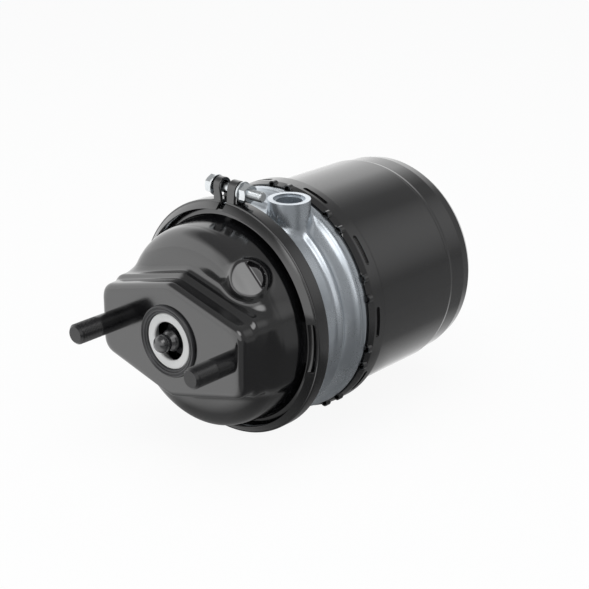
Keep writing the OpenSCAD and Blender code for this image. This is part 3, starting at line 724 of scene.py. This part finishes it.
def band_section(angle):
    """Closed profile of the band at an angle in degrees, as points of (radius, y).

    In the window the lip moves towards the crest by sqrt(1 - (1 - n)^2), n growing from 0 to 1 at each end.
    """
    away = abs((angle - WINDOW_MID + 180) % 360 - 180)
    n = np.clip((WINDOW_HALF - away) / WINDOW_ROUND, 0, 1)
    back = WINDOW_DEEP * math.sqrt(1 - (1 - n) ** 2)
    tip, root = lip_out + (crest_out - lip_out) * back, lip_in + (crest_in - lip_in) * back
    corners = [tip, crest_out - 0.02 * (crest_out - lip_out), crest_out + (0.1, 0.5), (BAND_R - 0.3, CREST - 1.0),
               (BAND_R, CREST), (BAND_R, BACK), (BAND_R - 0.6, BACK + 1), (87.4, 77.4), (86.2, 76.6), (89.5, 72.2),
               crest_in, root]
    return round_corners(corners, 0.45, 3)


# %% Clamp band
GAP_X, GAP_HALF = -2.3, 2.75
gap_mid, gap_half = 90 + math.degrees(math.asin(-GAP_X / BAND_R)), math.degrees(math.asin(GAP_HALF / BAND_R))
even = np.degrees(crowded(620, [0, 346, 12], 4.0, 2.5))
band_angles = gap_mid + gap_half + (360 - 2 * gap_half) * np.sort((even - gap_mid) % 360) / 360
sections = np.stack([band_section(a) for a in band_angles])
turns = np.radians(band_angles)[:, None]
band_grid = np.stack([sections[:, :, 0] * np.cos(turns), sections[:, :, 1], sections[:, :, 0] * np.sin(turns)], axis=-1)
n_rows, n_cols = band_grid.shape[:2]
band_faces = grid_faces(n_rows, n_cols) + [list(range(n_cols)), list(range((n_rows - 1) * n_cols, n_rows * n_cols))]
rolled_band = make_piece("rolled_band", band_grid.reshape(-1, 3), band_faces, black_coat, sharp=40)
dress(rolled_band, "chamber", "clamp_band")

# %% [markdown]
# ## Ears of the band
# At the gap each end of the band is drawn up into a hooded ear: a front plate, a round top over the bolt and a back
# plate. A bent plane with Solidify could make it. Here the hood is one strip that follows a U in the YZ plane,
# carried along X with its thickness in the profile, so that it can lean away from the gap towards its top. A Bevel
# modifier breaks its edges.

# %% Ears of the band
BOLT_Y, BOLT_Z = 69.5, 100.5
EAR_Y, EAR_Z, EAR_R, EAR_T = 68.9, 101.9, 6.6, 2.4
EAR_FOOT, LEAN_FROM, LEAN_RUN = 89.0, 91.0, 14.0


def hood(x_low, x_high, lean_low, lean_high):
    """Closed strip in the shape of an upturned U between two x, both of which shift with height by their lean.

    Its outer and inner edge are half circles of radius EAR_R and EAR_R - EAR_T with straight legs.
    """
    t = np.linspace(0, np.pi, 25)
    ring = []
    for r in (EAR_R, EAR_R - EAR_T):
        arc = np.stack([EAR_Y - r * np.cos(t), EAR_Z + r * np.sin(t)], axis=1)
        legs = np.linspace(EAR_FOOT, EAR_Z, 6)[:-1]
        front, behind = np.stack([np.full(5, EAR_Y - r), legs], 1), np.stack([np.full(5, EAR_Y + r), legs[::-1]], 1)
        ring.append(np.concatenate([front, arc, behind]))
    loop = np.concatenate([ring[0], ring[1][::-1]])
    rise = ease((loop[:, 1] - LEAN_FROM) / LEAN_RUN)
    low = np.column_stack([x_low + lean_low * rise, loop])
    high = np.column_stack([x_high + lean_high * rise, loop])
    n, half = len(loop), len(ring[0])
    faces = grid_faces(2, n)
    for k in range(half - 1):
        quad = [k, k + 1, n - 2 - k, n - 1 - k]
        faces += [quad, [c + n for c in quad]]
    return np.concatenate([low, high]), faces


ears = make_piece("band_ears", *join(hood(-12.6, -5.0, -0.6, -1.8), hood(0.5, 8.2, 0.9, 1.2)), black_coat, sharp=35)
edge = ears.modifiers.new("edges", "BEVEL")
edge.width, edge.segments, edge.limit_method, edge.angle_limit = 0.0005, 2, "ANGLE", math.radians(50)
dress(ears, "chamber", "clamp_band")

# %% [markdown]
# ## Band bolt, washers and nut
# An M8 bolt draws the ears together. It could be copied from a library of fasteners, but the hexagon and the threaded
# rod above already make it: the corners are turned off by a cone, and the shank carries its thread beyond the nut.
# All are made about the Y axis and then laid along X.

# %% Band bolt
GRIP_X, NUT_X, BOLT_END = -16.65, 12.05, 31.2
HEX_ACROSS, HEAD_HIGH, NUT_HIGH, WASHER_T = 13.0, 5.6, 6.8, 1.6
head = hexagon(HEX_ACROSS, GRIP_X - HEAD_HIGH, GRIP_X, 3.6, top=False)
shank = threaded_rod(4.0, 0.5, 1.25, GRIP_X - 1, BOLT_END, 24.0, 0.8, 0.1, 0.9, cols=48, step=0.13)
bolt_points, bolt_faces = join(head, shank)
bolt = make_piece("hex_bolt", along_x(bolt_points, BOLT_Y, BOLT_Z), bolt_faces, zinc_plate, sharp=30)
dress(bolt, "chamber", "clamp_bolt")

# %% Nut and washers
nut_points, nut_faces = hexagon(HEX_ACROSS, NUT_X, NUT_X + NUT_HIGH, 4.05)
nut = make_piece("hex_nut", along_x(nut_points, BOLT_Y, BOLT_Z), nut_faces, zinc_plate, sharp=30)
dress(nut, "chamber", "clamp_nut")
washer = [(4.2, 0), (7.7, 0), (8.0, 0.3), (8.0, WASHER_T - 0.3), (7.7, WASHER_T), (4.2, WASHER_T)]
washer_points, washer_faces = join(*[turned([(r, x + y) for r, y in washer], 96) for x in (GRIP_X, NUT_X - WASHER_T)])
washers = make_piece("flat_washers", along_x(washer_points, BOLT_Y, BOLT_Z), washer_faces, zinc_plate, sharp=30)
dress(washers, "chamber", "clamp_washers")

# %% [markdown]
# ## Cast flange
# The flange is cast, so its ridge and its flared neck have soft edges, and both port bosses grow out of it with a
# fillet. Bevels on the CAD flange would round its edges but not the foot of a boss. So a thin skin is laid over it:
# its radius is a function of angle and length. The turned profile and the two bosses are distances, and a smooth
# minimum joins them. Inside each boss the skin drops below the casting, so that the bored CAD boss comes through.

# %% Flange profile
SKIN_FRONT, SKIN_BACK, SKIN_IN = 74.2, 116.2, 80.6
PORT_R, PORT_FILLET, PORT_INSIDE, FAR_AWAY = 16.15, 5.0, 14.9, 50.0
TOP_PORT_X, TOP_PORT_Y, SIDE_PORT_Y = 31.0, 98.0, 104.0
neck = [(SKIN_FRONT, 84.0), (75.2, 82.6), (76.6, 82.15), (91.5, 82.15), (93.8, 82.9), (95.4, 84.6), (96.6, 85.6),
        (97.8, 85.6), (99.0, 84.6), (100.8, 83.75), (103.5, 83.65), (106.0, 84.3), (108.5, 85.1), (110.6, 86.0),
        (112.2, 87.2), (113.6, 88.6), (114.8, 89.2), (115.8, 89.0), (SKIN_BACK, 87.2)]
profile_y, profile_r = round_corners(neck, 1.1, 4, closed=False).T


def port_distance(x, y, z):
    """Distances from the axes of both ports: the top one counts where z > 0, the side one where x < 0."""
    top = np.where(z > 0, np.hypot(x - TOP_PORT_X, y - TOP_PORT_Y), FAR_AWAY)
    side = np.where(x < 0, np.hypot(z, y - SIDE_PORT_Y), FAR_AWAY)
    return top, side


def flange_field(x, y, z):
    """Negative inside the flange skin: radius less the turned profile, joined with the two port bosses."""
    body = np.hypot(x, z) - np.interp(y, profile_y, profile_r)
    top, side = port_distance(x, y, z)
    return smooth_min(smooth_min(body, top - PORT_R, PORT_FILLET), side - PORT_R, PORT_FILLET)


# %% Cast flange
skin_a = crowded(360, [69, 180], 13.0, 2.2)
skin_y = np.unique(np.concatenate([profile_y, np.arange(SKIN_FRONT, SKIN_BACK, 0.8)]))
yy, aa = np.meshgrid(skin_y, skin_a, indexing="ij")
low, high = np.full(yy.shape, 79.0), np.full(yy.shape, 92.3)
for _ in range(26):
    mid = 0.5 * (low + high)
    inside = flange_field(mid * np.cos(aa), yy, mid * np.sin(aa)) < 0
    low, high = np.where(inside, mid, low), np.where(inside, high, mid)
in_port = np.minimum(*port_distance(low * np.cos(aa), yy, low * np.sin(aa))) < PORT_INSIDE
skin_r = np.where(in_port, SKIN_IN + 0.3, low)
skin = np.stack([skin_r * np.cos(aa), yy, skin_r * np.sin(aa)], axis=-1)
skin_points = np.concatenate([skin.reshape(-1, 3), turn([(SKIN_IN, skin_y[-1]), (SKIN_IN, skin_y[0])], skin_a)])
skin_faces = grid_faces(len(skin_y) + 2, len(skin_a), close_rows=True)
cast_skin = make_piece("cast_flange_skin", skin_points, skin_faces, cast_alloy, sharp=50)
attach(cast_skin, "chamber")
print("cast_flange_skin:", len(cast_skin.data.polygons), "faces")
